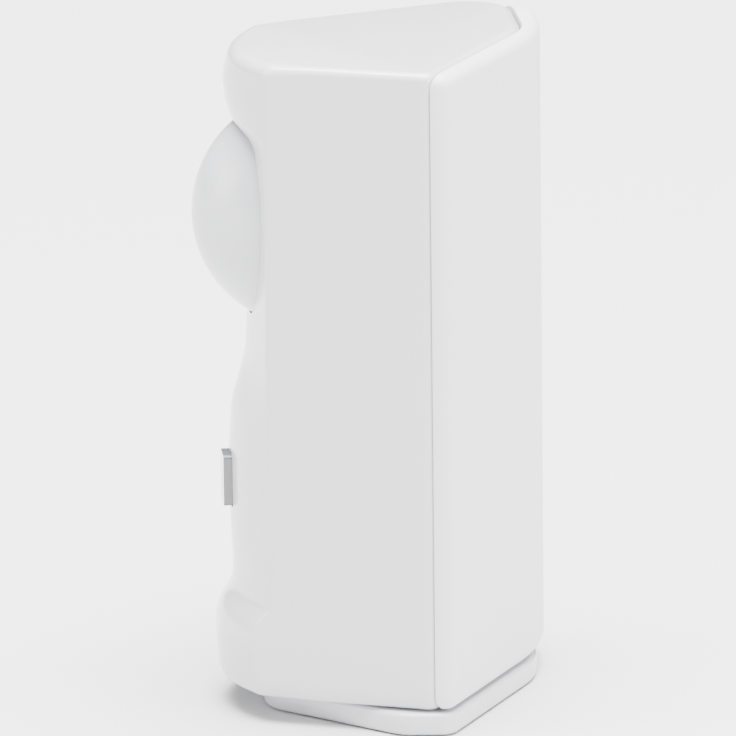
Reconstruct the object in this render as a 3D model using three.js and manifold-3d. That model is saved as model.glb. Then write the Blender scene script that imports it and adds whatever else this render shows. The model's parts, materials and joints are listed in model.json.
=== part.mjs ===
// Battery-powered wall detector with a dome lens, a push button and a slanted rear cover.
// Millimetres, +Z up. The front faces -Y, and Z = 0 is the flat underside of the foot.
import * as THREE from 'three';
import * as BufferGeometryUtils from 'three/addons/utils/BufferGeometryUtils.js';
import Module from 'manifold-3d';

const wasm = await Module();
wasm.setup();

// ---- driving dimensions ----
const HEIGHT = 130;
const FOOT_HEIGHT = 4.4;
const WALL = 2.2;
const GAP = 0.35;            // clearance between touching pieces
const FRONT_Y = -39;         // foremost plane of the chin
// Each side's distance from X = 0 at FRONT_Y, and how much it grows per millimetre of depth.
const NEAR_SIDE = { width: 14.5, flare: 0.415 };
const FAR_SIDE = { width: 15.5, flare: 0.36 };
const BULGE = { brow: 26, hollow: 110, start: -36, depth: 4.6 };   // radii of the front's curve across X
const NEAR_REAR_Y = 1;       // where the +X side meets the rear parting line
const BACK_Y = 22.7;         // rear plane of the housing on the -X side
const WEDGE_END_X = -7.5;    // where the slanted rear meets that plane
const COVER_FACE_Y = 27.4;   // rear plane of the cover on the -X side
const COVER_THICKNESS = 3;   // cover thickness over the slanted rear
const TOP_EDGE = 1.8;        // rounding of the housing's top and bottom edges
const COVER_EDGE = 2.6;      // rounding of the cover's edges

const DOME = { y: -19.3, z: 97.4, radius: 23, baseY: -30.2, squeeze: 0.72, wall: 1 };
const SKIRT = { radius: 17, wall: 1.2, length: 3.3 };      // the dome's collar through the housing
const RETAINER = { inner: 17.35, outer: 18.6, back: 2.3, thickness: 1.2 };
const BUTTON = { z: 44.6, width: 6.4, height: 10.1, frontY: -37.2, depth: 5.4 };
const PCB = { y: -20, thickness: 1.6, width: 27, bottom: 30, top: 118 };
const CELL = { radius: 7.1, length: 49.2, nubRadius: 2.7, nubLength: 1.3, spread: 7.55, inward: 7.7 };
const SPRING = { height: 4.4, wire: 0.4, turns: 3, small: 2, wide: 4.6 };
const POCKET = { along: 25, width: 30.6, depth: 15.6, bottom: 37, top: 94.5, wall: 1.4 };
const FOOT_SCREWS = [[11, -14], [-15, -6]];

const sideX = (y) => NEAR_SIDE.width + (y - FRONT_Y) * NEAR_SIDE.flare;
const farX = (y) => -FAR_SIDE.width - (y - FRONT_Y) * FAR_SIDE.flare;

// The slanted rear face runs from the +X side to the rear plane.
const wedgeStart = new THREE.Vector2(sideX(NEAR_REAR_Y), NEAR_REAR_Y);
const wedgeEnd = new THREE.Vector2(WEDGE_END_X, BACK_Y);
const wedgeDirection = wedgeEnd.clone().sub(wedgeStart).normalize();
const wedgeNormal = new THREE.Vector2(wedgeDirection.y, -wedgeDirection.x);
const wedgeAngle = Math.atan2(-wedgeNormal.x, wedgeNormal.y);   // turn about Z from +Y to the normal

// ---- solids ----
const group = new THREE.Group();
group.name = 'wall_detector';

// Only three.js's own shapes have uvs, and only they need their vertices merged.
function toSolid(geometry) {
  const fresh = Boolean(geometry.attributes.uv);
  const bare = geometry.clone();
  bare.deleteAttribute('normal');
  bare.deleteAttribute('uv');
  const merged = fresh ? BufferGeometryUtils.mergeVertices(bare, 1e-4) : bare;
  return new wasm.Manifold(new wasm.Mesh({
    numProp: 3,
    vertProperties: new Float32Array(merged.attributes.position.array),
    triVerts: new Uint32Array(merged.index.array),
  }));
}

function toGeometry(solid) {
  const mesh = solid.getMesh();
  const geometry = new THREE.BufferGeometry();
  geometry.setAttribute('position', new THREE.BufferAttribute(mesh.vertProperties, 3));
  geometry.setIndex(new THREE.BufferAttribute(mesh.triVerts, 1));
  geometry.computeVertexNormals();
  return geometry;
}

function cut(geometry, cutters) {
  const solid = cutters.reduce((rest, cutter) => rest.subtract(toSolid(cutter)), toSolid(geometry));
  return toGeometry(solid);
}

function join(geometries) {
  const solid = geometries.slice(1).reduce((sum, next) => sum.add(toSolid(next)), toSolid(geometries[0]));
  return toGeometry(solid);
}

const common = (a, b) => toGeometry(toSolid(a).intersect(toSolid(b)));

const finishes = {
  housing: { color: 0xe9e9ec, roughness: 0.22, metalness: 0 },
  cover: { color: 0xe6e6ea, roughness: 0.4, metalness: 0 },
  lens: { color: 0xdfe1e4, roughness: 0.35, metalness: 0 },
  clear: { color: 0xb9babc, roughness: 0.1, metalness: 0 },
  innerPlastic: { color: 0xd2d2d0, roughness: 0.6, metalness: 0 },
  darkPlastic: { color: 0x232426, roughness: 0.6, metalness: 0 },
  board: { color: 0x1f5a38, roughness: 0.45, metalness: 0 },
  metal: { color: 0xb8babd, roughness: 0.3, metalness: 1 },
  springMetal: { color: 0xd0d0cf, roughness: 0.25, metalness: 1 },
  cell: { color: 0x2f6fae, roughness: 0.35, metalness: 0.2 },
};

function addPart(name, geometry, finish) {
  const mesh = new THREE.Mesh(geometry, new THREE.MeshStandardMaterial(finishes[finish]));
  mesh.name = name;
  group.add(mesh);
  return mesh;
}

// A closed outline from sharp corners [x, y, radius], each rounded by an arc.
function roundedOutline(corners, steps = 8) {
  const points = [];
  corners.forEach(([x, y, radius], i) => {
    const corner = new THREE.Vector2(x, y);
    const [px, py] = corners.at(i - 1);
    const [nx, ny] = corners[(i + 1) % corners.length];
    const back = new THREE.Vector2(px, py).sub(corner).normalize();
    const ahead = new THREE.Vector2(nx, ny).sub(corner).normalize();
    const halfAngle = Math.acos(THREE.MathUtils.clamp(back.dot(ahead), -1, 1)) / 2;
    if (radius < 0.01) {
      points.push(corner);
      return;
    }
    const middle = back.clone().add(ahead).normalize();
    const centre = middle.multiplyScalar(radius / Math.sin(halfAngle)).add(corner);
    const reach = radius / Math.tan(halfAngle);
    const from = back.clone().multiplyScalar(reach).add(corner).sub(centre);
    const to = ahead.clone().multiplyScalar(reach).add(corner).sub(centre);
    const turn = Math.atan2(from.cross(to), from.dot(to));
    for (let k = 0; k <= steps; k += 1) {
      points.push(from.clone().rotateAround(new THREE.Vector2(), (turn * k) / steps).add(centre));
    }
  });
  return new THREE.Shape(points);
}

// Extrudes an outline along +Z from bottom to top, with rounded edges of size edge.
function upright(shape, bottom, top, edge = 0, edgeSteps = 4) {
  const geometry = new THREE.ExtrudeGeometry(shape, {
    depth: top - bottom - 2 * edge,
    bevelEnabled: edge > 0,
    bevelSize: edge,
    bevelOffset: -edge,
    bevelThickness: edge,
    bevelSegments: edgeSteps,
    curveSegments: 12,
  });
  return geometry.translate(0, 0, bottom + edge);
}

function block(width, depth, height, x, y, z) {
  return new THREE.BoxGeometry(width, depth, height).translate(x, y, z);
}

function roundedBlock(width, depth, height, radius, x, y, z) {
  const outline = roundedOutline([
    [width / 2, -height / 2, radius], [width / 2, height / 2, radius],
    [-width / 2, height / 2, radius], [-width / 2, -height / 2, radius],
  ], 5);
  const geometry = new THREE.ExtrudeGeometry(outline, { depth, bevelEnabled: false });
  return geometry.rotateX(Math.PI / 2).translate(x, y + depth / 2, z);
}

const alongZ = (geometry) => geometry.rotateX(Math.PI / 2);

// Turns a piece made around the origin so that its +Y faces out of the slanted rear, then places it
// at a distance along the slant and a depth inside the parting line.
function onWedge(geometry, along, inward, z) {
  const spot = wedgeStart.clone()
    .addScaledVector(wedgeDirection, along)
    .addScaledVector(wedgeNormal, -inward);
  return geometry.rotateZ(wedgeAngle).translate(spot.x, spot.y, z);
}

// ---- plan outlines ----
// The housing's outline, moved outwards by grow (negative moves it in).
function housingOutline(grow = 0) {
  const side = (y) => sideX(y) + grow * Math.hypot(1, NEAR_SIDE.flare);
  const far = (y) => farX(y) - grow * Math.hypot(1, FAR_SIDE.flare);
  const front = FRONT_Y - grow;
  const back = BACK_Y + grow;
  const start = wedgeStart.clone().addScaledVector(wedgeNormal, grow);
  const slope = wedgeDirection.y / wedgeDirection.x;
  const nearY = (start.y + slope * (side(0) - start.x)) / (1 - slope * NEAR_SIDE.flare);
  const endX = start.x + (back - start.y) / slope;
  return roundedOutline([
    [side(front), front, 9 + grow],
    [side(nearY), nearY, 3 + grow],
    [endX, back, 20 + grow],
    [far(back), back, 9 + grow],
    [far(front), front, 9 + grow],
  ]);
}

// The cover's outline: its rear face is the visible one, and its front is cut away by the housing.
function coverOutline() {
  const slope = wedgeDirection.y / wedgeDirection.x;
  const start = wedgeStart.clone().addScaledVector(wedgeNormal, COVER_THICKNESS);
  const nearX = sideX(NEAR_REAR_Y + COVER_THICKNESS) + 0.2;
  const endX = start.x + (COVER_FACE_Y - start.y) / slope;
  return roundedOutline([
    [nearX, start.y + slope * (nearX - start.x), 3.2],
    [endX, COVER_FACE_Y, 46],
    [-34, COVER_FACE_Y, 6.5],
    [-28, BACK_Y - 9, 4],
    [nearX - 8, NEAR_REAR_Y - 9, 4],
  ], 10);
}

// The front's outline seen from the side: a brow, a hollow for the dome, a waist and a chin.
const frontProfile = [
  [140, -33], [130.5, -34], [127.5, -35], [124.5, -35.8], [121.5, -35.7], [118.5, -35.2],
  [115.5, -34.2], [113.5, -32.4], [110.5, -31.4], [78, -31.4], [73, -31.8], [68, -32.3],
  [63.5, -33.7], [59.5, -35], [55, -35.4], [50, -35.7], [36, -35.6], [27, -35.3], [23.5, -35.7],
  [19.5, -38], [15.5, -38.9], [10.5, -38.6], [6, -38.2], [-2, -37.6],
];

// A block that fills everything behind the front profile, set back by inward. Its front is curved
// across X, more on the brow and the chin than in the hollow.
function behindFront(inward) {
  const line = new THREE.SplineCurve(frontProfile.map(([z, y]) => new THREE.Vector2(y, z)));
  const points = line.getPoints(60);
  points.push(new THREE.Vector2(60, -2), new THREE.Vector2(60, 140));
  const width = 88;
  const geometry = new THREE.ExtrudeGeometry(new THREE.Shape(points), {
    depth: width, steps: 22, bevelEnabled: false,
  });
  geometry.rotateY(Math.PI / 2).rotateX(Math.PI / 2).translate(-width / 2, 0, 0);
  const place = geometry.attributes.position;
  for (let i = 0; i < place.count; i += 1) {
    const y = place.getY(i);
    if (y < 0) {
      const share = THREE.MathUtils.clamp((y - BULGE.start) / BULGE.depth, 0, 1);
      const curve = THREE.MathUtils.lerp(1 / BULGE.brow, 1 / BULGE.hollow, share);
      place.setY(i, y + inward + (curve * place.getX(i) ** 2) / 2);
    }
  }
  return geometry;
}

// ---- outer shell ----
const SHELL_BOTTOM = FOOT_HEIGHT + GAP;
const CAVITY_BOTTOM = SHELL_BOTTOM + WALL;
const CAVITY_TOP = HEIGHT - WALL;
const WINDOW = { left: -22, right: 24.5, bottom: 9.5, top: 125.5 };   // rear opening of the housing
const SCREW_ALONG = [14, 36];
const SCREW_Z = [14, 121];
const HOOK = { along: 25, z: [13, 121.5], width: 8, height: 2.4, reach: 6 };
const TAMPER = { along: 40.5, z: 104, radius: 1.6, length: 7 };

const windowOutline = (margin) => new THREE.Shape([
  new THREE.Vector2(WINDOW.left + margin, -4), new THREE.Vector2(WINDOW.right - margin, -4),
  new THREE.Vector2(WINDOW.right - margin, 40), new THREE.Vector2(WINDOW.left + margin, 40),
]);

function domeOpening() {
  const radius = SKIRT.radius + 0.4;
  const opening = new THREE.CylinderGeometry(radius, radius, 12, 48);
  return opening.scale(DOME.squeeze, 1, 1).translate(0, DOME.baseY + WALL - 1, DOME.z);
}

// The seat that the dome's rim sits in: the dome's own cap, a little larger.
function domeSeat() {
  const seatRadius = DOME.radius + 0.4;
  const rim = DOME.baseY - DOME.y + 0.3;
  const rimAngle = Math.acos(-rim / seatRadius);
  const steps = 10;
  const cap = Array.from({ length: steps + 1 }, (_, i) => {
    const angle = (rimAngle * i) / steps;
    return [i === 0 ? 0 : seatRadius * Math.sin(angle), -seatRadius * Math.cos(angle)];
  });
  return closedTurn([...cap, [0, rim]], 40).scale(DOME.squeeze, 1, 1).translate(0, DOME.y, DOME.z);
}

function screwBosses() {
  const bosses = [];
  SCREW_ALONG.forEach((along) => SCREW_Z.forEach((z) => {
    const outer = z < HEIGHT / 2 ? CAVITY_BOTTOM - 1 : CAVITY_TOP + 1;
    const inner = z < HEIGHT / 2 ? z + 3 : z - 3;
    const boss = new THREE.BoxGeometry(6.5, 9, Math.abs(outer - inner));
    bosses.push(onWedge(boss, along, 7.8, (outer + inner) / 2));
  }));
  return bosses;
}

function screwHoles(radius) {
  const holes = [];
  SCREW_ALONG.forEach((along) => SCREW_Z.forEach((z) => {
    holes.push(onWedge(new THREE.CylinderGeometry(radius, radius, 14, 16), along, 5, z));
  }));
  return holes;
}

function addHousing() {
  const outer = common(upright(housingOutline(), SHELL_BOTTOM, HEIGHT, TOP_EDGE), behindFront(0));
  const cavity = common(upright(housingOutline(-WALL), CAVITY_BOTTOM, CAVITY_TOP), behindFront(WALL + 0.2));
  const opening = upright(windowOutline(0), WINDOW.bottom, WINDOW.top);
  const shell = cut(outer, [cavity, opening, domeOpening(), domeSeat(),
    roundedBlock(BUTTON.width + 0.7, 8, BUTTON.height + 0.7, 1, 0, -34, BUTTON.z),
    ...FOOT_SCREWS.map(([x, y]) => alongZ(new THREE.CylinderGeometry(1.3, 1.3, 8, 16)).translate(x, y, 8))]);
  addPart('front_housing', cut(join([shell, ...screwBosses()]), screwHoles(1.35)), 'housing');
}

// The foot is a rounded triangle under the housing and the cover, set back at the front.
function addFoot() {
  const outline = roundedOutline([
    [8, -30, 9], [30, -6, 7], [31.2, 4, 4], [-6.5, 25.2, 25],
    [-31.5, 25.2, 8], [-29.5, -4.5, 8], [-8, -30, 9],
  ]);
  const body = upright(outline, 0, FOOT_HEIGHT, 0.9, 3);
  const holes = FOOT_SCREWS.flatMap(([x, y]) => [
    alongZ(new THREE.CylinderGeometry(1.4, 1.4, 20, 20)).translate(x, y, 0),
    alongZ(new THREE.CylinderGeometry(2.9, 2.9, 4.4, 24)).translate(x, y, 0),
  ]);
  addPart('foot_plate', cut(body, holes), 'housing');
  FOOT_SCREWS.forEach(([x, y], i) => {
    const screw = turnedScrew(2.5, 1.5, 1.1, 8);
    addPart(`foot_screw_${i + 1}`, alongZ(screw).translate(x, y, 0.5), 'metal');
  });
}

// A pan-head screw along +Y, head at the origin end, made by turning its outline.
function turnedScrew(headRadius, headHeight, shankRadius, length) {
  return closedTurn([
    [0, 0], [headRadius * 0.8, 0], [headRadius, headHeight * 0.4], [headRadius, headHeight],
    [shankRadius, headHeight], [shankRadius, length - 1], [0, length],
  ], 20);
}

// Turns a closed profile about Y with its faces pointing out, whichever way round it is listed.
function closedTurn(profile, segments) {
  const points = profile.map(([radius, along]) => new THREE.Vector2(radius, along));
  const ring = points.some((p) => p.x === 0) ? points : [...points, points[0].clone()];
  return new THREE.LatheGeometry(THREE.ShapeUtils.area(points) > 0 ? ring : ring.reverse(), segments);
}

// ---- dome and sensor ----
function addDome() {
  const rimAngle = Math.acos((DOME.y - DOME.baseY) / DOME.radius);
  const steps = 10;
  const arc = (radius, count) => Array.from({ length: count + 1 }, (_, i) => {
    const angle = (rimAngle * i) / count;
    return [i === 0 ? 0 : radius * Math.sin(angle), -radius * Math.cos(angle)];
  });
  const rimY = DOME.baseY - DOME.y;
  const skirtEnd = rimY + SKIRT.length;
  const skirtInner = SKIRT.radius - SKIRT.wall;
  const inner = arc(DOME.radius - DOME.wall, steps).filter(([, y]) => y < rimY + 0.2);
  const profile = [...arc(DOME.radius, steps), [SKIRT.radius, rimY], [SKIRT.radius, skirtEnd],
    [skirtInner, skirtEnd], [skirtInner, rimY], ...inner.reverse()];
  const shape = closedTurn(profile, 44).scale(DOME.squeeze, 1, 1).translate(0, DOME.y, DOME.z);
  addPart('lens_dome', shape, 'lens');

  const ring = closedTurn([[RETAINER.inner, 0], [RETAINER.outer, 0],
    [RETAINER.outer, RETAINER.thickness], [RETAINER.inner, RETAINER.thickness]], 48);
  ring.scale(DOME.squeeze, 1, 1).translate(0, DOME.baseY + RETAINER.back, DOME.z);
  addPart('lens_retainer', ring, 'darkPlastic');
}

function addSensor() {
  const front = PCB.y - PCB.thickness / 2 - 0.3;
  const can = closedTurn([[0, 0], [4.9, 0], [4.9, 0.5], [4.2, 0.5], [4.2, 3.6], [3.9, 4], [2.4, 4],
    [2.4, 3.3], [0, 3.3]], 32);
  addPart('pir_sensor', can.rotateX(Math.PI).translate(0, front, DOME.z), 'metal');
  addPart('sensor_filter', closedTurn([[0, 0], [2.1, 0], [2.1, 0.5], [0, 0.5]], 24)
    .translate(0, front - 4.1, DOME.z), 'darkPlastic');
  const cone = closedTurn([[6, 0], [10.2, 5], [11.2, 5], [7.4, 0]], 36);
  addPart('sensor_shroud', cone.rotateX(Math.PI).translate(0, front, DOME.z), 'darkPlastic');
  addPart('brightness_sensor', block(3, 1.2, 2.4, 0, front - 0.6, DOME.z - 14.5), 'darkPlastic');
}

// ---- circuit board ----
function addBoard() {
  const mid = (PCB.bottom + PCB.top) / 2;
  const board = roundedBlock(PCB.width, PCB.thickness, PCB.top - PCB.bottom, 2, 0, PCB.y, mid);
  addPart('main_board', board, 'board');
  const back = PCB.y + PCB.thickness / 2 + 0.3;
  addPart('radio_module', block(14, 2.2, 13, -3, back + 1.1, 104), 'metal');
  addPart('controller_chip', block(8, 1.2, 8, 4, back + 0.6, 84), 'darkPlastic');
  addPart('crystal', roundedBlock(4.6, 1.6, 2, 0.9, -6, back + 0.8, 84), 'metal');
  const buffer = closedTurn([[0, 0], [3.1, 0], [3.1, 7], [0, 7]], 20);
  addPart('buffer_capacitor', buffer.translate(7, back, 70), 'darkPlastic');
  addPart('battery_connector', block(6, 4.4, 4.6, -7, back + 2.2, 66), 'innerPlastic');
  const wire = new THREE.CatmullRomCurve3([
    new THREE.Vector3(10, back + 0.6, 100), new THREE.Vector3(10, back + 3, 103),
    new THREE.Vector3(10, back + 3, 112), new THREE.Vector3(10, back + 3, 121),
  ]);
  const section = new THREE.Shape(new THREE.EllipseCurve(0, 0, 0.5, 0.5).getPoints(8).slice(0, 8));
  const antenna = new THREE.ExtrudeGeometry(section, { steps: 18, extrudePath: wire, bevelEnabled: false });
  addPart('antenna', antenna, 'springMetal');
  [[11, 33], [-11, 33], [11, 115], [-11, 115]].forEach(([x, z], i) => {
    addPart(`board_screw_${i + 1}`, closedTurn([[0, 0], [1.9, 0], [1.9, 1.3], [1.4, 1.7], [0, 1.7]], 18)
      .translate(x, back, z), 'metal');
  });
}

// ---- button ----
function addButton() {
  const face = roundedBlock(BUTTON.width, BUTTON.depth, BUTTON.height, 0.7,
    0, BUTTON.frontY + BUTTON.depth / 2, BUTTON.z);
  const flangeY = BUTTON.frontY + BUTTON.depth - 0.1;
  const flange = roundedBlock(9.4, 1.1, 13, 1, 0, flangeY, BUTTON.z);
  const stem = roundedBlock(3, 5.6, 3, 0.5, 0, flangeY + 3, BUTTON.z);
  addPart('button_cap', join([face, flange, stem]), 'clear');

  const front = PCB.y - PCB.thickness / 2 - 0.3;
  const plungerFront = flangeY + 5.8 + 0.3;
  const plunger = new THREE.CylinderGeometry(1.6, 1.6, 2.2, 20);
  addPart('switch_plunger', plunger.translate(0, plungerFront + 1.1, BUTTON.z), 'darkPlastic');
  const bodyFront = plungerFront + 1.2;
  const well = new THREE.CylinderGeometry(2, 2, 5.6, 24).translate(0, bodyFront, BUTTON.z);
  const body = block(6, front - bodyFront, 6, 0, (front + bodyFront) / 2, BUTTON.z);
  addPart('switch_body', cut(body, [well]), 'darkPlastic');
  addPart('status_led', block(1.8, 1.2, 3, 0, front - 0.6, BUTTON.z + 5.2), 'lens');
  addGuide(flangeY, front);
}

// The guide holds the button's stem and stands on the board.
function addGuide(flangeY, front) {
  const plateY = flangeY + 2.4;
  const plate = cut(block(15, 1.4, 8, 0, plateY, BUTTON.z), [block(3.8, 4, 3.8, 0, plateY, BUTTON.z)]);
  const legs = [-6.3, 6.3].map((x) => block(2, front - plateY, 6, x, (front + plateY) / 2, BUTTON.z));
  addPart('button_guide', join([plate, ...legs]), 'innerPlastic');
}

// ---- battery tray and cells ----
function addTray() {
  const low = WINDOW.bottom + GAP;
  const high = WINDOW.top - GAP;
  const band = common(
    cut(upright(housingOutline(-0.5), low, high), [upright(housingOutline(-2.5), low - 1, high + 1)]),
    upright(windowOutline(GAP), low, high));
  const height = POCKET.top - POCKET.bottom;
  const mid = (POCKET.top + POCKET.bottom) / 2;
  const box = (extra, depth, inward) => onWedge(
    new THREE.BoxGeometry(POCKET.width + 2 * extra, depth, height + 2 * extra), POCKET.along, inward, mid);
  const pocket = box(POCKET.wall, POCKET.depth, POCKET.depth / 2 + 1);
  const hollow = box(0, POCKET.depth + 4, POCKET.depth / 2 - 2.4);
  const slots = HOOK.z.map((z) => onWedge(
    new THREE.BoxGeometry(HOOK.width + 1, 20, HOOK.height + 1), HOOK.along, 4, z));
  const heads = SCREW_ALONG.flatMap((along) => SCREW_Z.map((z) => onWedge(
    new THREE.CylinderGeometry(2.7, 2.7, 2.4, 20), along, 0, z)));
  const tamperHole = onWedge(new THREE.CylinderGeometry(2, 2, 12, 20), TAMPER.along, 2, TAMPER.z);
  const tray = cut(join([band, pocket]), [hollow, ...slots, ...heads, ...screwHoles(1.35), tamperHole]);
  addPart('battery_tray', tray, 'innerPlastic');
  let count = 0;
  SCREW_ALONG.forEach((along) => SCREW_Z.forEach((z) => {
    count += 1;
    const screw = turnedScrew(2.3, 0.8, 1, 8).rotateX(Math.PI);
    addPart(`tray_screw_${count}`, onWedge(screw, along, 0.35, z), 'metal');
  }));
}

function addCells() {
  [-1, 1].forEach((side, i) => {
    const up = side > 0;
    const along = POCKET.along + side * CELL.spread;
    const start = up ? POCKET.bottom + SPRING.height + 0.8 : POCKET.top - SPRING.height - 0.8;
    const cell = closedTurn([[0, 0], [6.6, 0], [CELL.radius, 0.5], [CELL.radius, CELL.length - 0.5],
      [6.6, CELL.length], [CELL.nubRadius, CELL.length], [CELL.nubRadius, CELL.length + CELL.nubLength],
      [0, CELL.length + CELL.nubLength]], 32);
    const turnedCell = alongZ(cell).rotateX(up ? 0 : Math.PI);
    addPart(`battery_${i + 1}`, onWedge(turnedCell, along, CELL.inward, start), 'cell');
    const end = start + side * (CELL.length + CELL.nubLength + 0.3);
    const plate = new THREE.BoxGeometry(9, 10, 0.5).translate(0, 0, up ? 0.25 : -0.25);
    addPart(`contact_plate_${i + 1}`, onWedge(plate, along, CELL.inward, end), 'springMetal');
    const spring = onWedge(conicalSpring(up), along, CELL.inward, start);
    addPart(`contact_spring_${i + 1}`, spring, 'springMetal');
  });
}

// A conical spring whose small end is 0.3 below the origin.
function conicalSpring(up) {
  const { height, wire, turns, small, wide } = SPRING;
  const points = Array.from({ length: 31 }, (_, i) => {
    const t = i / 30;
    const angle = t * turns * 2 * Math.PI;
    const radius = small + (wide - small) * t;
    const z = -0.3 - wire - t * (height - 2 * wire);
    return new THREE.Vector3(radius * Math.cos(angle), radius * Math.sin(angle), z);
  });
  const section = new THREE.Shape(new THREE.EllipseCurve(0, 0, wire, wire).getPoints(6).slice(0, 6));
  const path = new THREE.CatmullRomCurve3(points);
  const spring = new THREE.ExtrudeGeometry(section, { steps: 40, extrudePath: path, bevelEnabled: false });
  return up ? spring : spring.rotateX(Math.PI);
}

// ---- tamper contact ----
function addTamper() {
  const { radius, length } = TAMPER;
  const rod = closedTurn([[0, 0], [radius - 0.4, 0], [radius, 0.4], [radius, length], [0, length]], 20)
    .rotateX(Math.PI);
  addPart('tamper_plunger', onWedge(rod, TAMPER.along, -0.05, TAMPER.z), 'clear');
  const well = new THREE.CylinderGeometry(2, 2, 6, 20).translate(0, 2.5, 0);
  const body = cut(new THREE.BoxGeometry(6, 5, 8), [well]);
  addPart('tamper_switch', onWedge(body, TAMPER.along, 8, TAMPER.z), 'darkPlastic');
}

// ---- rear cover ----
function addCover() {
  const bottom = SHELL_BOTTOM;
  const top = HEIGHT - 0.2;
  const outer = upright(coverOutline(), bottom, top, COVER_EDGE, 5);
  const housingSpace = upright(housingOutline(GAP), bottom - 5, top + 5);
  const rear = cut(outer, [housingSpace]);
  const hooks = HOOK.z.map((z) => onWedge(
    new THREE.BoxGeometry(HOOK.width, HOOK.reach + 1.5, HOOK.height), HOOK.along, HOOK.reach / 2 - 1.2, z));
  addPart('rear_cover', join([rear, ...hooks]), 'cover');
}

addHousing();
addFoot();
addDome();
addSensor();
addBoard();
addButton();
addTray();
addCells();
addTamper();
addCover();

export default group;
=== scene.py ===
import json
import math
import bpy
import bmesh
from mathutils import Matrix, Vector


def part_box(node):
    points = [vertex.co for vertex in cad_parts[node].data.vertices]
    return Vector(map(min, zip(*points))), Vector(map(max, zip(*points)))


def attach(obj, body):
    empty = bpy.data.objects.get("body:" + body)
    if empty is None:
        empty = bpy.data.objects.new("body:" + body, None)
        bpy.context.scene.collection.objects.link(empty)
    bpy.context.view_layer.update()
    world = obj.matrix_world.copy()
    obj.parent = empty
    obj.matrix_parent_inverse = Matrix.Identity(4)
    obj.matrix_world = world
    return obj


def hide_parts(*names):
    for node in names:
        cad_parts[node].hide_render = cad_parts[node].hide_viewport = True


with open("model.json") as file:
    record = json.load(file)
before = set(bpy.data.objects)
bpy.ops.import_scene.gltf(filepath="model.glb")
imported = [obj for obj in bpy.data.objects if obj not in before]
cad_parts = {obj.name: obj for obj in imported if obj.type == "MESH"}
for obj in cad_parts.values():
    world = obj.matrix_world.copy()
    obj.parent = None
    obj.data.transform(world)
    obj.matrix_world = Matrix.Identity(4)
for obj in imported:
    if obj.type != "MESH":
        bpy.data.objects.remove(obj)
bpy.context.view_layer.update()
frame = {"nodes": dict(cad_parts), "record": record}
print("frame loaded:", len(frame["nodes"]), "nodes")

mm = 0.001
housingLow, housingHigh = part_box("front_housing")
coverLow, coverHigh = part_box("rear_cover")
footLow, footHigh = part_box("foot_plate")
domeLow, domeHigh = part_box("lens_dome")
buttonLow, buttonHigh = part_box("button_cap")

# The plan of the whole detector, in millimetres. Both sides flare back from the front, and the
# rear starts with a slant on the +X side before it runs flat.
plan = {
    "frontY": -39, "nearWidth": 14.5, "nearFlare": 0.415, "farWidth": 15.5, "farFlare": 0.36,
    "nearRearY": 1, "backY": 22.7, "wedgeEndX": -7.5,
    "coverFaceY": 27.4, "coverThickness": 3, "gap": 0.35, "wall": 2.2,
}


def sideX(y):
    return plan["nearWidth"] + (y - plan["frontY"]) * plan["nearFlare"]


def farX(y):
    return -plan["farWidth"] - (y - plan["frontY"]) * plan["farFlare"]


wedgeStart = Vector((sideX(plan["nearRearY"]), plan["nearRearY"]))
wedgeEnd = Vector((plan["wedgeEndX"], plan["backY"]))
wedgeDirection = (wedgeEnd - wedgeStart).normalized()
wedgeNormal = Vector((wedgeDirection.y, -wedgeDirection.x))
wedgeTurn = Matrix.Rotation(math.atan2(-wedgeNormal.x, wedgeNormal.y), 4, "Z")
wedgeSlope = wedgeDirection.y / wedgeDirection.x


# ---- outlines ----
def roundedOutline(corners, steps=10):
    points = []
    for i, (x, y, radius) in enumerate(corners):
        corner = Vector((x, y))
        back = (Vector(corners[i - 1][:2]) - corner).normalized()
        ahead = (Vector(corners[(i + 1) % len(corners)][:2]) - corner).normalized()
        half = math.acos(max(-1, min(1, back.dot(ahead)))) / 2
        centre = corner + (back + ahead).normalized() * (radius / math.sin(half))
        reach = radius / math.tan(half)
        start = corner + back * reach - centre
        end = corner + ahead * reach - centre
        turn = math.atan2(start.x * end.y - start.y * end.x, start.dot(end))
        for k in range(steps + 1):
            points.append(centre + Matrix.Rotation(turn * k / steps, 2) @ start)
    return points


def evenly(points, spacing):
    # the same outline with extra points along its straight stretches
    result = []
    for i, point in enumerate(points):
        following = points[(i + 1) % len(points)]
        count = max(1, round((following - point).length / spacing))
        result += [point.lerp(following, k / count) for k in range(count)]
    return result


def housingOutline(grow=0, steps=12):
    def side(y):
        return sideX(y) + grow * math.hypot(1, plan["nearFlare"])

    def far(y):
        return farX(y) - grow * math.hypot(1, plan["farFlare"])
    front = plan["frontY"] - grow
    back = plan["backY"] + grow
    start = wedgeStart + wedgeNormal * grow
    nearY = (start.y + wedgeSlope * (side(0) - start.x)) / (1 - wedgeSlope * plan["nearFlare"])
    endX = start.x + (back - start.y) / wedgeSlope
    return roundedOutline([
        (side(front), front, 9 + grow), (side(nearY), nearY, 3 + grow), (endX, back, 20 + grow),
        (far(back), back, 9 + grow), (far(front), front, 9 + grow)], steps)


def coverOutline(steps=14):
    start = wedgeStart + wedgeNormal * plan["coverThickness"]
    nearX = sideX(plan["nearRearY"] + plan["coverThickness"]) + 0.2
    face = plan["coverFaceY"]
    endX = start.x + (face - start.y) / wedgeSlope
    return roundedOutline([
        (nearX, start.y + wedgeSlope * (nearX - start.x), 3.2), (endX, face, 46), (-34, face, 6.5),
        (-28, plan["backY"] - 9, 4), (nearX - 8, plan["nearRearY"] - 9, 4)], steps)


def smoothMax(a, b, blend):
    # the larger of a and b, with the change between them rounded over blend
    share = max(blend - abs(a - b), 0) / blend
    return max(a, b) + share * share * blend / 4


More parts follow.
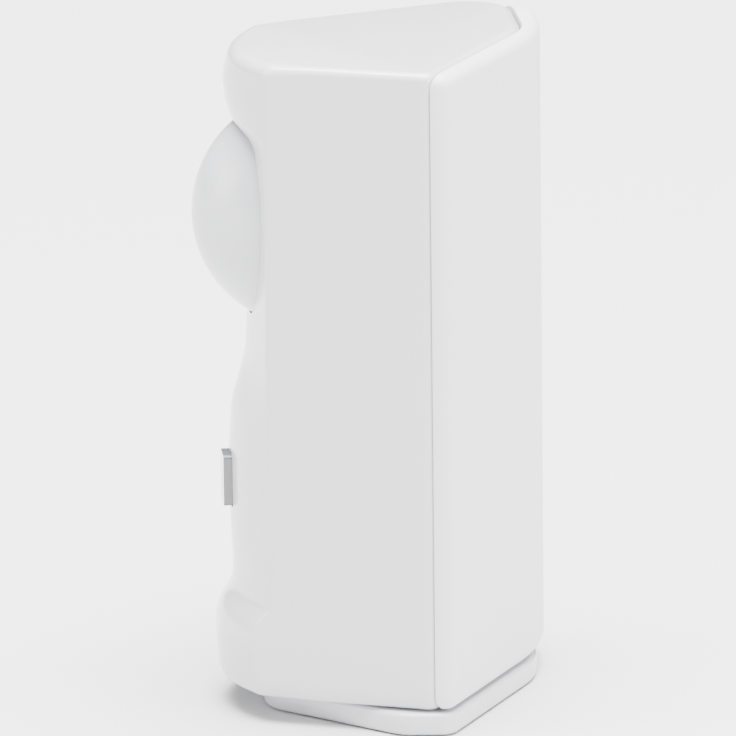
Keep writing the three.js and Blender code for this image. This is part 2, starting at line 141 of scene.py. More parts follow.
def catmull(points, x):
    # a smooth curve through points listed as (x, value), falling or rising in x
    ordered = sorted(points)
    if x <= ordered[0][0]:
        return ordered[0][1]
    if x >= ordered[-1][0]:
        return ordered[-1][1]
    i = next(k for k in range(len(ordered) - 1) if ordered[k + 1][0] >= x)
    p1, p2 = ordered[i], ordered[i + 1]
    p0 = ordered[max(i - 1, 0)]
    p3 = ordered[min(i + 2, len(ordered) - 1)]
    t = (x - p1[0]) / (p2[0] - p1[0])
    m1 = (p2[1] - p0[1]) / (p2[0] - p0[0]) * (p2[0] - p1[0])
    m2 = (p3[1] - p1[1]) / (p3[0] - p1[0]) * (p2[0] - p1[0])
    return ((2 * t**3 - 3 * t**2 + 1) * p1[1] + (t**3 - 2 * t**2 + t) * m1
            + (-2 * t**3 + 3 * t**2) * p2[1] + (t**3 - t**2) * m2)


# ---- mesh building ----
def meshObject(name, vertices, faces, sharp=32):
    mesh = bpy.data.meshes.new(name)
    mesh.from_pydata([tuple(c * mm for c in v) for v in vertices], [], faces)
    bm = bmesh.new()
    bm.from_mesh(mesh)
    bmesh.ops.recalc_face_normals(bm, faces=bm.faces)
    bm.to_mesh(mesh)
    bm.free()
    finishShading(mesh, sharp)
    piece = bpy.data.objects.new(name, mesh)
    bpy.context.scene.collection.objects.link(piece)
    return piece


def finishShading(mesh, sharp):
    mesh.polygons.foreach_set("use_smooth", [True] * len(mesh.polygons))
    mesh.set_sharp_from_angle(angle=math.radians(sharp))


def loft(name, rings, sharp=32):
    count = len(rings[0])
    vertices = [v for ring in rings for v in ring]
    faces = []
    for r in range(len(rings) - 1):
        for i in range(count):
            j = (i + 1) % count
            faces.append((r * count + i, r * count + j, (r + 1) * count + j, (r + 1) * count + i))
    faces.append(tuple(range(count))[::-1])
    faces.append(tuple(range((len(rings) - 1) * count, len(rings) * count)))
    return meshObject(name, vertices, faces, sharp)


def prism(name, points, low, high):
    return loft(name, [[(p.x, p.y, z) for p in points] for z in (low, high)])


def turned(name, profile, segments, centre, squeeze=1, relief=None, sharp=32):
    # turns (radius, y) points about the Y axis; relief pushes a point in by the depth it returns
    rings = []
    for radius, along in profile:
        ring = []
        for k in range(segments):
            angle = 2 * math.pi * k / segments
            scaled = radius - (relief(radius, along, angle) if relief else 0)
            ring.append((centre[0] + scaled * math.cos(angle) * squeeze, centre[1] + along,
                         centre[2] + scaled * math.sin(angle)))
        rings.append(ring)
    return loft(name, rings, sharp)


def box(name, size, centre, turn=None):
    vertices = []
    for dx in (-0.5, 0.5):
        for dy in (-0.5, 0.5):
            for dz in (-0.5, 0.5):
                point = Vector((dx * size[0], dy * size[1], dz * size[2]))
                vertices.append(tuple((turn @ point if turn else point) + Vector(centre)))
    faces = [(0, 1, 3, 2), (4, 6, 7, 5), (0, 4, 5, 1), (2, 3, 7, 6), (0, 2, 6, 4), (1, 5, 7, 3)]
    return meshObject(name, vertices, faces)


def wedgePoint(along, inward, z):
    spot = wedgeStart + wedgeDirection * along - wedgeNormal * inward
    return Vector((spot.x, spot.y, z))


def combine(piece, others, operation, sharp=32):
    for other in others:
        step = piece.modifiers.new("step", "BOOLEAN")
        step.operation = operation
        step.solver = "EXACT"
        step.object = other
        evaluated = piece.evaluated_get(bpy.context.evaluated_depsgraph_get())
        mesh = bpy.data.meshes.new_from_object(evaluated)
        piece.modifiers.clear()
        old = piece.data
        piece.data = mesh
        bpy.data.meshes.remove(old)
        bpy.data.objects.remove(other)
    piece.data.name = piece.name
    finishShading(piece.data, sharp)
    return piece


def roundEdges(piece, width, segments=3, angle=35):
    bevel = piece.modifiers.new("rounding", "BEVEL")
    bevel.width = width * mm
    bevel.segments = segments
    bevel.limit_method = "ANGLE"
    bevel.angle_limit = math.radians(angle)
    bevel.harden_normals = True
    return piece


# ---- front housing ----
housing = {
    "bottom": housingLow[2] / mm, "top": housingHigh[2] / mm,
    "edge": 1.8, "frontEdge": 2.9, "edgeSteps": 7,
    "spacing": 0.8, "rise": 0.9, "wingBlend": 1.1,
    # height and depth of the front's middle line: brow, dome hollow, waist and chin
    "front": [
        (140, -33), (130.5, -34), (127.5, -35), (124.5, -35.8), (121.5, -35.7), (118.5, -35.2),
        (115.5, -34.2), (113.5, -32.4), (110.5, -31.4), (78, -31.4), (73, -31.8), (68, -32.3),
        (63.5, -33.7), (59.5, -35), (55, -35.4), (50, -35.7), (36, -35.6), (27, -35.3), (23.5, -35.7),
        (19.5, -38), (15.5, -38.9), (10.5, -38.6), (6, -38.2), (-2, -37.6)],
    # radii of the front's curve across X, on the brow and chin and in the hollow
    "browRadius": 26, "hollowRadius": 110, "bulgeStart": -36, "bulgeDepth": 4.6,
}
dome = {
    "y": -19.3, "z": (domeLow[2] + domeHigh[2]) / 2 / mm, "radius": 23, "baseY": -30.2,
    "squeeze": 0.72, "wall": 1, "segments": 128, "rings": 44,
    "skirt": 17, "skirtWall": 1.2, "skirtLength": 3.3,
}
button = {
    "z": (buttonLow[2] + buttonHigh[2]) / 2 / mm, "width": 6.4, "height": 10.1,
    "frontY": buttonLow[1] / mm, "depth": 5.4,
}
window = {"left": -22, "right": 24.5, "bottom": 9.5, "top": 125.5}


def frontAt(x, z):
    # depth of the front at one spot: its middle line, bent back to the sides
    middle = catmull(housing["front"], z)
    share = max(0, min(1, (middle - housing["bulgeStart"]) / housing["bulgeDepth"]))
    curve = (1 - share) / housing["browRadius"] + share / housing["hollowRadius"]
    return middle + curve * x * x / 2


def ringNormals(ring):
    count = len(ring)
    normals = []
    for i in range(count):
        tangent = ring[(i + 1) % count] - ring[i - 1]
        normals.append(Vector((tangent.y, -tangent.x)).normalized())
    return normals


def edgeRings(base, normals, z, direction, radiusOf, steps):
    # rings that roll the wall over into the top (direction 1) or the bottom (-1)
    rings = []
    for k in range(1, steps + 1):
        angle = math.pi / 2 * k / steps
        ring = []
        for point, normal in zip(base, normals):
            radius = radiusOf(point)
            inset = point - normal * radius * (1 - math.cos(angle))
            ring.append((inset.x, inset.y, z - direction * radius * (1 - math.sin(angle))))
        rings.append(ring)
    return rings


def housingSkin():
    outline = evenly(housingOutline(), housing["spacing"])

    def levelRing(z):
        return [Vector((p.x, smoothMax(p.y, frontAt(p.x, z), housing["wingBlend"]) if p.y < 0 else p.y))
                for p in outline]

    def edgeRadius(point):
        forward = max(0, min(1, (-20 - point.y) / 14))
        share = forward * forward * (3 - 2 * forward)
        return housing["edge"] + (housing["frontEdge"] - housing["edge"]) * share
    low = housing["bottom"] + housing["frontEdge"]
    high = housing["top"] - housing["frontEdge"]
    count = round((high - low) / housing["rise"])
    levels = [low + (high - low) * k / count for k in range(count + 1)]
    rings = [[(p.x, p.y, z) for p in levelRing(z)] for z in levels]
    topBase = levelRing(high)
    bottomBase = levelRing(low)
    steps = housing["edgeSteps"]
    top = edgeRings(topBase, ringNormals(topBase), housing["top"], 1, edgeRadius, steps)
    bottom = edgeRings(bottomBase, ringNormals(bottomBase), housing["bottom"], -1, edgeRadius, steps)
    return loft("housingShell", bottom[::-1] + rings + top, 40)


def domeSeat(extra, name):
    radius = dome["radius"] + extra
    rim = dome["baseY"] - dome["y"] + 0.3
    rimAngle = math.acos(-rim / radius)
    profile = [(max(radius * math.sin(rimAngle * k / 24), 0.01), -radius * math.cos(rimAngle * k / 24))
               for k in range(25)]
    return turned(name, profile + [(0.01, rim)], 96, (0, dome["y"], dome["z"]), dome["squeeze"])


def roundedBoxMesh(name, width, depth, height, radius, centre, steps=6):
    outline = roundedOutline([
        (width / 2, -height / 2, radius), (width / 2, height / 2, radius),
        (-width / 2, height / 2, radius), (-width / 2, -height / 2, radius)], steps)
    x, y, z = centre
    return loft(name, [[(x + p.x, y + side * depth / 2, z + p.y) for p in outline] for side in (-1, 1)])


def buildHousing():
    skin = housingSkin()
    cavityBottom = housing["bottom"] + plan["wall"]
    cavityTop = housing["top"] - plan["wall"]
    inner = evenly(housingOutline(-plan["wall"]), 2)
    rings = []
    count = 60
    for k in range(count + 1):
        z = cavityBottom + (cavityTop - cavityBottom) * k / count
        rings.append([(p.x, max(p.y, frontAt(p.x, z) + plan["wall"] + 0.2) if p.y < 0 else p.y, z)
                      for p in inner])
    cavity = loft("cavity", rings)
    rear = [Vector((window["left"], -4)), Vector((window["right"], -4)),
            Vector((window["right"], 40)), Vector((window["left"], 40))]
    opening = prism("opening", rear, window["bottom"], window["top"])
    holeRadius = dome["skirt"] + 0.4
    hole = turned("domeHole", [(holeRadius, -6), (holeRadius, 6)], 96,
                  (0, dome["baseY"] + plan["wall"] - 1, dome["z"]), dome["squeeze"])
    buttonHole = roundedBoxMesh("buttonHole", button["width"] + 0.7, 8, button["height"] + 0.7, 1,
                                (0, -34, button["z"]))
    combine(skin, [cavity, opening, domeSeat(0.4, "domeSeat"), hole, buttonHole], "DIFFERENCE", 40)
    return skin


housingShell = buildHousing()
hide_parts("front_housing")
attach(housingShell, "main")
print("housing built:", len(housingShell.data.polygons), "faces")

# ---- rear cover ----
cover = {
    "bottom": coverLow[2] / mm, "top": coverHigh[2] / mm, "edge": 2.6, "edgeSteps": 8,
    "hookAlong": 25, "hookZ": (13, 121.5), "hookSize": (8, 7.5, 2.4), "hookInward": 1.8,
}


def buildCover():
    outline = evenly(coverOutline(), 1.2)
    normals = ringNormals(outline)
    low = cover["bottom"] + cover["edge"]
    high = cover["top"] - cover["edge"]
    count = 40
    rings = [[(p.x, p.y, low + (high - low) * k / count) for p in outline] for k in range(count + 1)]
    top = edgeRings(outline, normals, cover["top"], 1, lambda p: cover["edge"], cover["edgeSteps"])
    bottom = edgeRings(outline, normals, cover["bottom"], -1, lambda p: cover["edge"], cover["edgeSteps"])
    shell = loft("coverShell", bottom[::-1] + rings + top, 40)
    space = prism("housingSpace", housingOutline(plan["gap"], 20), -10, 140)
    combine(shell, [space], "DIFFERENCE", 40)
    hooks = [box("hook", cover["hookSize"], wedgePoint(cover["hookAlong"], cover["hookInward"], z), wedgeTurn)
             for z in cover["hookZ"]]
    return combine(shell, hooks, "UNION", 40)


coverShell = buildCover()
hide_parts("rear_cover")
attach(coverShell, "cover")
print("cover built:", len(coverShell.data.polygons), "faces")

# ---- foot ----
foot = {
    "height": footHigh[2] / mm, "edge": 0.9, "edgeSteps": 5, "screws": [(11, -14), (-15, -6)],
    "corners": [(8, -30, 9), (30, -6, 7), (31.2, 4, 4), (-6.5, 25.2, 25), (-31.5, 25.2, 8),
                (-29.5, -4.5, 8), (-8, -30, 9)],
}


def buildFoot():
    outline = evenly(roundedOutline(foot["corners"], 14), 1.5)
    normals = ringNormals(outline)
    low, high = foot["edge"], foot["height"] - foot["edge"]
    walls = [[(p.x, p.y, z) for p in outline] for z in (low, (low + high) / 2, high)]
    top = edgeRings(outline, normals, foot["height"], 1, lambda p: foot["edge"], foot["edgeSteps"])
    bottom = edgeRings(outline, normals, 0, -1, lambda p: foot["edge"], foot["edgeSteps"])
    plate = loft("footPlate", bottom[::-1] + walls + top, 40)
    holes = []
    for x, y in foot["screws"]:
        for radius, high in ((1.4, 10), (2.9, 2.2)):
            circle = [Vector((x + radius * math.cos(a), y + radius * math.sin(a)))
                      for a in (2 * math.pi * k / 40 for k in range(40))]
            holes.append(prism("footHole", circle, -10, high))
    return combine(plate, holes, "DIFFERENCE", 40)


footPlate = buildFoot()
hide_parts("foot_plate")
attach(footPlate, "main")
print("foot built")


# ---- dome ----
def domeRelief(radius, along, angle):
    # shallow grooves where the lens's segments meet: three rings and spokes between them
    polar = math.degrees(math.atan2(radius, -along))
    groove = 0
    for line in (14, 29, 44):
        groove = max(groove, math.exp(-((polar - line) / 0.5) ** 2))
    if 14 < polar < 54:
        count = 6 if polar < 29 else 12
        offset = (math.degrees(angle) % (360 / count)) - 180 / count
        groove = max(groove, math.exp(-(offset * math.sin(math.radians(polar)) / 0.5) ** 2))
    return 0.045 * groove


def buildDome():
    rim = dome["baseY"] - dome["y"]
    rimAngle = math.acos(-rim / dome["radius"])
    outer = [(max(dome["radius"] * math.sin(rimAngle * k / dome["rings"]), 0.02),
              -dome["radius"] * math.cos(rimAngle * k / dome["rings"])) for k in range(dome["rings"] + 1)]
    innerRadius = dome["radius"] - dome["wall"]
    innerAngle = math.acos(-(rim + 0.2) / innerRadius)
    inner = [(max(innerRadius * math.sin(innerAngle * k / 20), 0.02),
              -innerRadius * math.cos(innerAngle * k / 20)) for k in range(21)]
    skirtInner = dome["skirt"] - dome["skirtWall"]
    skirtEnd = rim + dome["skirtLength"]
    skirt = [(dome["skirt"], rim), (dome["skirt"], skirtEnd), (skirtInner, skirtEnd), (skirtInner, rim)]
    profile = outer + skirt + inner[::-1]

    def relief(radius, along, angle):
        onOuter = abs(math.hypot(radius, along) - dome["radius"]) < 0.05
        return domeRelief(radius, along, angle) if onOuter else 0
    return turned("lensShell", profile, dome["segments"] * 2, (0, dome["y"], dome["z"]), dome["squeeze"],
                  relief, 50)


lensShell = buildDome()
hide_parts("lens_dome")
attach(lensShell, "main")
print("dome built")


# ---- button: a clear body with a frosted front skin ----
def buildButton():
    middle = button["frontY"] + button["depth"] / 2
    body = roundedBoxMesh("buttonBody", button["width"], button["depth"], button["height"], 0.7,
                          (0, middle, button["z"]))
    flangeY = button["frontY"] + button["depth"] - 0.1
    flange = roundedBoxMesh("flange", 9.4, 1.1, 13, 1, (0, flangeY, button["z"]))
    stem = roundedBoxMesh("stem", 3, 5.6, 3, 0.5, (0, flangeY + 3, button["z"]))
    combine(body, [flange, stem], "UNION")
    dish = turned("dish", [(0.01, -0.3), (2.3, -0.3), (1.2, 0.14), (0.01, 0.2)], 48,
                  (0, button["frontY"], button["z"] - 2.2))
    combine(body, [dish], "DIFFERENCE")
    return roundEdges(body, 0.22)


buttonBody = buildButton()
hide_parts("button_cap")
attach(buttonBody, "button")
print("button built")

# ---- cells ----
cell = {"radius": 7.1, "length": 49.2, "nubRadius": 2.7, "nubLength": 1.3, "along": 25, "spread": 7.55,
        "inward": 7.7, "low": 42.2, "high": 89.3}


def cellSleeveProfile():
    r, length = cell["radius"], cell["length"]
    return [(5.6, 0.02), (6.5, 0.0), (6.9, 0.12), (r, 0.5), (r, 1.4), (r - 0.05, 1.6), (r, 1.8),
            (r, length - 1.8), (r - 0.05, length - 1.6), (r, length - 1.4), (r, length - 0.5),
            (6.9, length - 0.12), (6.5, length), (5.4, length), (5.3, length - 0.35), (5.3, 0.4)]


def cellCoreProfile():
    length = cell["length"]
    nub, top = cell["nubRadius"], cell["length"] + cell["nubLength"]
    return [(0.02, 0.15), (4.7, 0.15), (5.15, 0.35), (5.15, length - 0.4), (3.1, length - 0.25),
            (nub, length), (nub, top - 0.35), (nub - 0.35, top), (0.02, top)]


def placeCell(piece, side):
    up = 1 if side > 0 else -1
    start = cell["low"] if up > 0 else cell["high"]
    spot = wedgePoint(cell["along"] + side * cell["spread"], cell["inward"], start) * mm
    stand = Matrix.Rotation(math.pi / 2 * up, 4, "X")
    piece.data.transform(Matrix.Translation(spot) @ wedgeTurn @ stand)


cellSleeves = []
cellCores = []
for number, side in ((1, -1), (2, 1)):
    sleeveProfile = cellSleeveProfile()
    sleeve = turned(f"cellSleeve{number}", sleeveProfile + [sleeveProfile[0]], 64, (0, 0, 0))
    core = turned(f"cellCore{number}", cellCoreProfile(), 64, (0, 0, 0))
    for piece in (sleeve, core):
        placeCell(piece, side)
        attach(piece, "main")
    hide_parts(f"battery_{number}")
    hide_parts(f"battery_{number}")
    cellSleeves.append(sleeve)
    cellCores.append(core)
print("cells built")


# ---- shared effects ----
def newGroup(name, inputs, outputs):
    tree = bpy.data.node_groups.new(name, "ShaderNodeTree")
    for label, kind, value in inputs:
        socket = tree.interface.new_socket(label, in_out="INPUT", socket_type=kind)
        socket.default_value = value
    for label, kind in outputs:
        tree.interface.new_socket(label, in_out="OUTPUT", socket_type=kind)
    return tree, tree.nodes.new("NodeGroupInput"), tree.nodes.new("NodeGroupOutput")


def addNode(tree, kind, settings=None, **inputs):
    node = tree.nodes.new(kind)
    for key, value in (settings or {}).items():
        setattr(node, key, value)
    for key, value in inputs.items():
        socket = node.inputs[key.replace("_", " ")]
        if isinstance(value, bpy.types.NodeSocket):
            tree.links.new(value, socket)
        else:
            socket.default_value = value
    return node


def mathNode(tree, operation, a, b, clamp=False):
    node = tree.nodes.new("ShaderNodeMath")
    node.operation = operation
    node.use_clamp = clamp
    for socket, value in zip(node.inputs, (a, b)):
        if isinstance(value, bpy.types.NodeSocket):
            tree.links.new(value, socket)
        else:
            socket.default_value = value
    return node.outputs[0]


def objectPoint(tree):
    return tree.nodes.new("ShaderNodeTexCoord").outputs["Object"]


def buildToneDrift():
    # slow changes of tone over moulded plastic
    tree, source, sink = newGroup(
        "toneDrift",
        [("Color", "NodeSocketColor", (0.8, 0.8, 0.8, 1)), ("Shade", "NodeSocketColor", (0.7, 0.7, 0.7, 1)),
         ("Size", "NodeSocketFloat", 40.0), ("Amount", "NodeSocketFloat", 0.5)],
        [("Color", "NodeSocketColor")])
    noise = addNode(tree, "ShaderNodeTexNoise", Vector=objectPoint(tree), Scale=source.outputs["Size"],
                    Detail=3.0, Roughness=0.5)
    share = mathNode(tree, "MULTIPLY", noise.outputs["Fac"], source.outputs["Amount"], True)
    mix = tree.nodes.new("ShaderNodeMix")
    mix.data_type = "RGBA"
    tree.links.new(share, mix.inputs["Factor"])
    tree.links.new(source.outputs["Color"], mix.inputs["A"])
    tree.links.new(source.outputs["Shade"], mix.inputs["B"])
    tree.links.new(mix.outputs["Result"], sink.inputs["Color"])
    return tree


def buildMouldTexture():
    # fine spark-eroded grain with a faint long wave, as a height
    tree, source, sink = newGroup(
        "mouldTexture", [("Grain Size", "NodeSocketFloat", 2500.0), ("Wave Size", "NodeSocketFloat", 60.0),
                         ("Wave Share", "NodeSocketFloat", 0.5)],
        [("Height", "NodeSocketFloat")])
    point = objectPoint(tree)
    grain = addNode(tree, "ShaderNodeTexNoise", Vector=point, Scale=source.outputs["Grain Size"],
                    Detail=2.0, Roughness=0.6)
    wave = addNode(tree, "ShaderNodeTexNoise", Vector=point, Scale=source.outputs["Wave Size"],
                   Detail=1.0, Roughness=0.4)
    raised = mathNode(tree, "MULTIPLY", wave.outputs["Fac"], source.outputs["Wave Share"])
    total = mathNode(tree, "ADD", grain.outputs["Fac"], raised)
    tree.links.new(total, sink.inputs["Height"])
    return tree


def buildHandling():
    # smudges and tiny scuffs, as a roughness value and a mask
    tree, source, sink = newGroup(
        "handling", [("Roughness", "NodeSocketFloat", 0.3), ("Smudge", "NodeSocketFloat", 0.08),
                     ("Smudge Size", "NodeSocketFloat", 90.0), ("Scuff", "NodeSocketFloat", 0.1)],
        [("Roughness", "NodeSocketFloat"), ("Scuff Mask", "NodeSocketFloat")])
    point = objectPoint(tree)
    smudge = addNode(tree, "ShaderNodeTexNoise", Vector=point, Scale=source.outputs["Smudge Size"],
                     Detail=4.0, Roughness=0.6)
    stretch = addNode(tree, "ShaderNodeMapping", Vector=point)
    stretch.inputs["Scale"].default_value = (1.0, 1.0, 0.12)
    stretch.inputs["Rotation"].default_value = (0.35, 0.2, 0.6)
    scuff = addNode(tree, "ShaderNodeTexNoise", Vector=stretch.outputs["Vector"], Scale=900.0,
                    Detail=1.0, Roughness=0.5)
    thin = addNode(tree, "ShaderNodeMapRange", Value=scuff.outputs["Fac"])
    thin.inputs["From Min"].default_value = 0.70
    thin.inputs["From Max"].default_value = 0.76
    centred = mathNode(tree, "SUBTRACT", smudge.outputs["Fac"], 0.5)
    swing = mathNode(tree, "MULTIPLY", centred, source.outputs["Smudge"])
    scuffs = mathNode(tree, "MULTIPLY", thin.outputs["Result"], source.outputs["Scuff"])
    rough = mathNode(tree, "ADD", source.outputs["Roughness"], swing)
    tree.links.new(mathNode(tree, "ADD", rough, scuffs, True), sink.inputs["Roughness"])
    tree.links.new(scuffs, sink.inputs["Scuff Mask"])
    return tree


toneDrift = buildToneDrift()
mouldTexture = buildMouldTexture()
handling = buildHandling()


def useGroup(tree, group, **inputs):
    node = tree.nodes.new("ShaderNodeGroup")
    node.node_tree = group
    for key, value in inputs.items():
        socket = node.inputs[key.replace("_", " ")]
        if isinstance(value, bpy.types.NodeSocket):
            tree.links.new(value, socket)
        else:
            socket.default_value = value
    return node


def surface(name, settings):
    # one material: tone drift on the colour, handling on the roughness, mould texture as bump
    material = bpy.data.materials.new(name)
    material.use_nodes = True
    tree = material.node_tree
    shader = tree.nodes["Principled BSDF"]
    drift = useGroup(tree, toneDrift, Color=(*settings["color"], 1), Shade=(*settings["shade"], 1),
                     Size=settings.get("driftSize", 40.0), Amount=settings.get("drift", 0.5))
    tree.links.new(drift.outputs["Color"], shader.inputs["Base Color"])
    hand = useGroup(tree, handling, Roughness=settings["roughness"], Smudge=settings.get("smudge", 0.06),
                    Smudge_Size=settings.get("smudgeSize", 90.0), Scuff=settings.get("scuff", 0.05))
    tree.links.new(hand.outputs["Roughness"], shader.inputs["Roughness"])
    grain = useGroup(tree, mouldTexture, Grain_Size=settings.get("grainSize", 2500.0),
                     Wave_Size=settings.get("waveSize", 60.0), Wave_Share=settings.get("waveShare", 0.5))
    bump = tree.nodes.new("ShaderNodeBump")
    bump.inputs["Strength"].default_value = settings.get("bump", 0.1)
    bump.inputs["Distance"].default_value = settings.get("bumpDepth", 0.00005)
    tree.links.new(grain.outputs["Height"], bump.inputs["Height"])
    tree.links.new(bump.outputs["Normal"], shader.inputs["Normal"])
    for socket, value in settings.get("shader", {}).items():
        shader.inputs[socket].default_value = value
    return material


glossWhite = {
    "color": (0.60, 0.60, 0.628), "shade": (0.57, 0.57, 0.60), "driftSize": 22.0, "drift": 0.6,
    "roughness": 0.2, "smudge": 0.07, "scuff": 0.04, "bump": 0.06, "bumpDepth": 0.00004,
    "waveShare": 2.0, "shader": {"IOR": 1.5, "Coat Weight": 0.25, "Coat Roughness": 0.08},
}
satinWhite = {
    "color": (0.71, 0.71, 0.73), "shade": (0.68, 0.68, 0.705), "driftSize": 30.0, "drift": 0.5,
    "roughness": 0.42, "smudge": 0.08, "scuff": 0.05, "bump": 0.22, "bumpDepth": 0.00005,
    "grainSize": 1900.0, "waveShare": 0.6, "shader": {"IOR": 1.48},
}
frostedLens = {
    "color": (0.60, 0.605, 0.635), "shade": (0.55, 0.56, 0.59), "driftSize": 45.0, "drift": 0.7,
    "roughness": 0.3, "smudge": 0.05, "bump": 0.08, "waveShare": 1.0,
    "shader": {"IOR": 1.52, "Subsurface Weight": 0.35, "Subsurface Radius": (0.004, 0.004, 0.0045),
               "Subsurface Scale": 0.6, "Coat Weight": 0.3, "Coat Roughness": 0.15},
}
clearButton = {
    "color": (0.17, 0.172, 0.178), "shade": (0.14, 0.142, 0.148), "driftSize": 250.0, "drift": 0.6,
    "roughness": 0.16, "bump": 0.05, "shader": {"IOR": 1.49, "Coat Weight": 0.5, "Coat Roughness": 0.05},
}
buttonFrontWhite = {
    "color": (0.83, 0.83, 0.84), "shade": (0.78, 0.78, 0.8), "driftSize": 250.0, "drift": 0.5,
    "roughness": 0.25, "bump": 0.06, "shader": {"IOR": 1.49, "Coat Weight": 0.3},
}
innerMoulded = {
    "color": (0.62, 0.62, 0.61), "shade": (0.55, 0.55, 0.54), "roughness": 0.55, "bump": 0.2,
    "grainSize": 1500.0, "shader": {"IOR": 1.47},
}
blackMoulded = {
    "color": (0.02, 0.02, 0.022), "shade": (0.035, 0.035, 0.037), "roughness": 0.6, "bump": 0.25,
    "grainSize": 1700.0,
}
chipResin = {
    "color": (0.018, 0.018, 0.02), "shade": (0.04, 0.04, 0.04), "driftSize": 300.0, "roughness": 0.5,
    "bump": 0.2, "grainSize": 3500.0,
}
filterGlass = {"color": (0.03, 0.02, 0.025), "shade": (0.05, 0.03, 0.04), "roughness": 0.08, "bump": 0.02}
solderMask = {
    "color": (0.02, 0.13, 0.055), "shade": (0.03, 0.17, 0.08), "driftSize": 500.0, "drift": 0.8,
    "roughness": 0.35, "bump": 0.15, "grainSize": 900.0, "shader": {"Coat Weight": 0.3},
}
tinPlate = {
    "color": (0.62, 0.62, 0.62), "shade": (0.48, 0.48, 0.49), "driftSize": 200.0, "roughness": 0.32,
    "smudge": 0.12, "scuff": 0.2, "bump": 0.12, "shader": {"Metallic": 1.0},
}
nickelPlate = {
    "color": (0.68, 0.67, 0.65), "shade": (0.55, 0.54, 0.52), "driftSize": 300.0, "roughness": 0.22,
    "smudge": 0.1, "scuff": 0.15, "bump": 0.08, "shader": {"Metallic": 1.0},
}
zincScrew = {
    "color": (0.55, 0.56, 0.58), "shade": (0.42, 0.42, 0.45), "driftSize": 600.0, "roughness": 0.35,
    "scuff": 0.2, "bump": 0.15, "shader": {"Metallic": 1.0},
}
cellSleeve = {
    "color": (0.03, 0.14, 0.38), "shade": (0.025, 0.11, 0.31), "driftSize": 60.0, "roughness": 0.28,
    "smudge": 0.12, "scuff": 0.15, "bump": 0.05, "shader": {"Coat Weight": 0.4},
}
ledResin = {"color": (0.78, 0.78, 0.72), "shade": (0.7, 0.7, 0.62), "roughness": 0.15, "bump": 0.04}

finishes = {
    "housing_white": surface("glossWhite", glossWhite),
    "cover_white": surface("satinWhite", satinWhite),
    "lens_frosted": surface("frostedLens", frostedLens),
    "button_clear": surface("clearButton", clearButton),
    "led_clear": surface("ledResin", ledResin),
    "inner_plastic": surface("innerMoulded", innerMoulded),
    "black_plastic": surface("blackMoulded", blackMoulded),
    "chip_black": surface("chipResin", chipResin),
    "filter_dark": surface("filterGlass", filterGlass),
    "board_green": surface("solderMask", solderMask),
    "tin_can": surface("tinPlate", tinPlate),
    "spring_metal": surface("nickelPlate", nickelPlate),
    "screw_steel": surface("zincScrew", zincScrew),
    "cell_wrap": surface("cellSleeve", cellSleeve),
}
print("materials built:", len(finishes))


def paint(piece, material):
    piece.data.materials.clear()
    piece.data.materials.append(material)


paint(housingShell, finishes["housing_white"])
paint(footPlate, finishes["housing_white"])
paint(coverShell, finishes["cover_white"])
paint(lensShell, finishes["lens_frosted"])
paint(buttonBody, finishes["button_clear"])
buttonBody.data.materials.append(surface("buttonFrontWhite", buttonFrontWhite))
for polygon in buttonBody.data.polygons:
    # the frosted skin is the frontmost face
    if polygon.center.y < (button["frontY"] + 0.25) * mm:
        polygon.material_index = 1
for piece in cellSleeves:
    paint(piece, finishes["cell_wrap"])
for piece in cellCores:
    paint(piece, finishes["spring_metal"])

# The inner pieces keep their own shapes, with rounded edges where they are moulded or cut.
replaced = {"front_housing", "rear_cover", "foot_plate", "lens_dome", "button_cap", "battery_1", "battery_2"}
slots = {entry["node"]: entry["material_slot"] for entry in frame["record"]["subparts"]}
edgeWidths = {"battery_tray": 0.25, "main_board": 0.12, "radio_module": 0.3, "controller_chip": 0.12,
              "battery_connector": 0.2, "button_guide": 0.2, "switch_body": 0.2, "tamper_switch": 0.2,
              "status_led": 0.15, "brightness_sensor": 0.12, "contact_plate_1": 0.1, "contact_plate_2": 0.1}
for node, piece in frame["nodes"].items():
    if node in replaced:
        continue
    for index in range(max(1, len(piece.material_slots))):
        if piece.material_slots:
            piece.material_slots[index].material = finishes[slots[node]]
        else:
            piece.data.materials.append(finishes[slots[node]])
    if node in edgeWidths:
        roundEdges(piece, edgeWidths[node], 2)
print("inner pieces painted")

# ---- floor, light and camera ----
camera = {
    "azimuth": 84.45, "elevation": 14.65, "roll": 0.64, "distance": 1.788, "frameWidth": 138.56,
    # where the near rear top corner sits in the frame, in mm from its middle
    "cornerRight": 12.616, "cornerUp": 54.98,
}
studio = {
    "floor": (0.64, 0.64, 0.64), "world": 0.25,
    "lights": [
        {"name": "overhead", "place": (0.1, 0.1, 3.0), "size": 2.6, "power": 800},
        {"name": "rearSide", "place": (1.6, 1.5, 0.7), "size": 1.1, "power": 55},
        {"name": "frontFill", "place": (0.2, -2.0, 0.6), "size": 1.0, "power": 22},
    ],
}


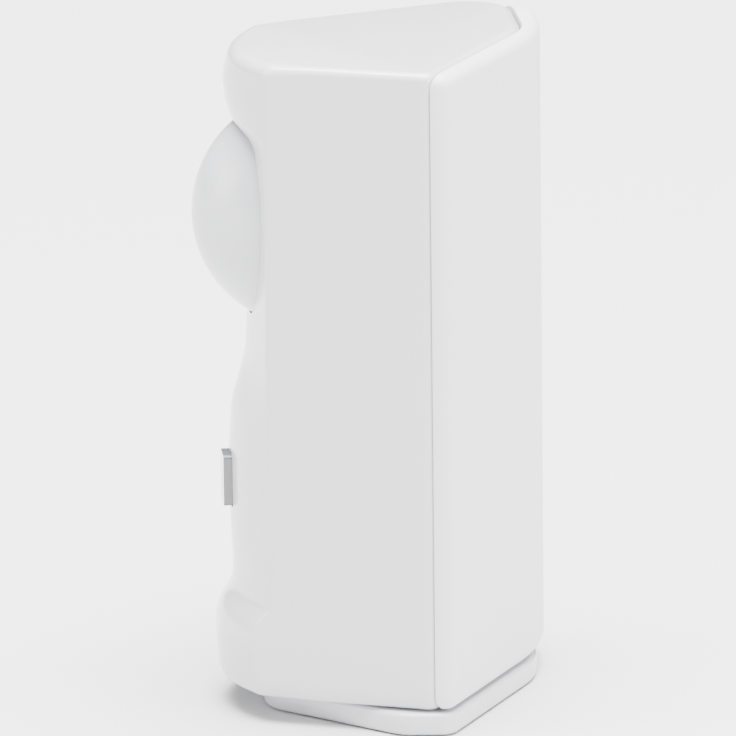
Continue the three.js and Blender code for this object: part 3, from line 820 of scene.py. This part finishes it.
def buildStudio():
    bpy.ops.mesh.primitive_grid_add(x_subdivisions=2, y_subdivisions=2, size=8, location=(0, 0, -0.0002))
    floor = bpy.context.object
    floor.name = "floor"
    material = bpy.data.materials.new("paleFloor")
    material.use_nodes = True
    material.node_tree.nodes["Principled BSDF"].inputs["Base Color"].default_value = (*studio["floor"], 1)
    material.node_tree.nodes["Principled BSDF"].inputs["Roughness"].default_value = 0.9
    paint(floor, material)
    world = bpy.data.worlds.new("studioWorld")
    world.use_nodes = True
    background = world.node_tree.nodes["Background"]
    background.inputs["Color"].default_value = (1, 1, 1, 1)
    background.inputs["Strength"].default_value = studio["world"]
    bpy.context.scene.world = world
    target = Vector((0, 0, 0.06))
    for entry in studio["lights"]:
        data = bpy.data.lights.new(entry["name"], "AREA")
        data.size = entry["size"]
        data.energy = entry["power"]
        lamp = bpy.data.objects.new(entry["name"], data)
        lamp.location = entry["place"]
        lamp.rotation_euler = (target - Vector(entry["place"])).to_track_quat("-Z", "Y").to_euler()
        bpy.context.scene.collection.objects.link(lamp)


def buildCamera():
    azimuth = math.radians(camera["azimuth"])
    elevation = math.radians(camera["elevation"])
    right = Vector((math.cos(azimuth), math.sin(azimuth), 0))
    ahead = Vector((-math.sin(azimuth), math.cos(azimuth), 0))
    look = ahead * math.cos(elevation) - Vector((0, 0, math.sin(elevation)))
    up = right.cross(look)
    corner = Vector((wedgeStart.x, wedgeStart.y, housing["top"])) * mm
    target = corner - right * camera["cornerRight"] * mm - up * camera["cornerUp"] * mm
    lens = bpy.data.cameras.new("camera")
    lens.sensor_width = 36
    lens.lens = lens.sensor_width * camera["distance"] / (camera["frameWidth"] * mm)
    lens.clip_start = 0.01
    view = bpy.data.objects.new("camera", lens)
    turn = Matrix((right, up, -look)).transposed() @ Matrix.Rotation(math.radians(-camera["roll"]), 3, "Z")
    view.matrix_world = Matrix.Translation(target - look * camera["distance"]) @ turn.to_4x4()
    bpy.context.scene.collection.objects.link(view)
    bpy.context.scene.camera = view


buildStudio()
buildCamera()
print("studio built")
